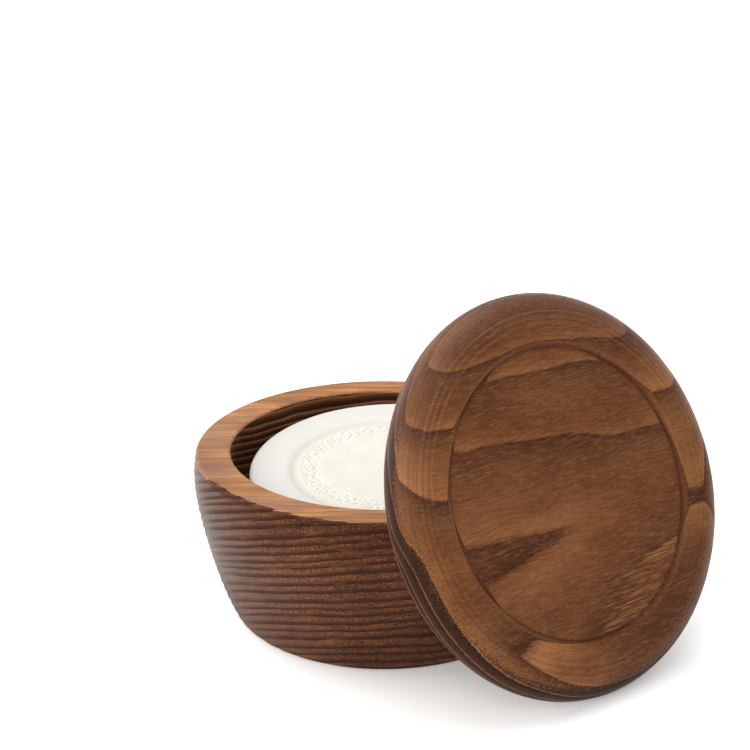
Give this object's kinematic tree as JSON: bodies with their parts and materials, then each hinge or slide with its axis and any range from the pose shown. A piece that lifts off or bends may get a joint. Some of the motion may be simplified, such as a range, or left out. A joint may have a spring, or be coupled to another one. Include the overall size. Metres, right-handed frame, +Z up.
{
  "type": "shaving bowl",
  "caption": "Low turned wooden bowl with a round shaving soap in it; its dished round lid is off and leans on its edge against the rim.",
  "frame": {"origin": "centre of the bowl's flat foot, on the surface that the bowl and the lid's edge both stand on", "axes": "+Z up along the bowl's axis; -Y is the front; the lid leans against the rim at the front right, between +X and -Y"},
  "size_m": [0.1368, 0.122, 0.0919],
  "materials": {
    "bowl_wood": "oiled, brushed along the grain",
    "lid_wood": "oiled, smooth turned",
    "soap": "smooth pressed soap"
  },
  "bodies": {
    "bowl": {"bowl": "bowl_wood"},
    "lid": {"lid": "lid_wood"},
    "soap": {"soap_puck": "soap"}
  },
  "joints": [
    {"name": "lid_lift", "type": "slide", "parent": "bowl", "child": "lid", "axis": [0, 0, 1], "range_m": [0, 0.06]},
    {"name": "soap_lift", "type": "slide", "parent": "bowl", "child": "soap", "axis": [0, 0, 1], "range_m": [0, 0.027]}
  ]
}
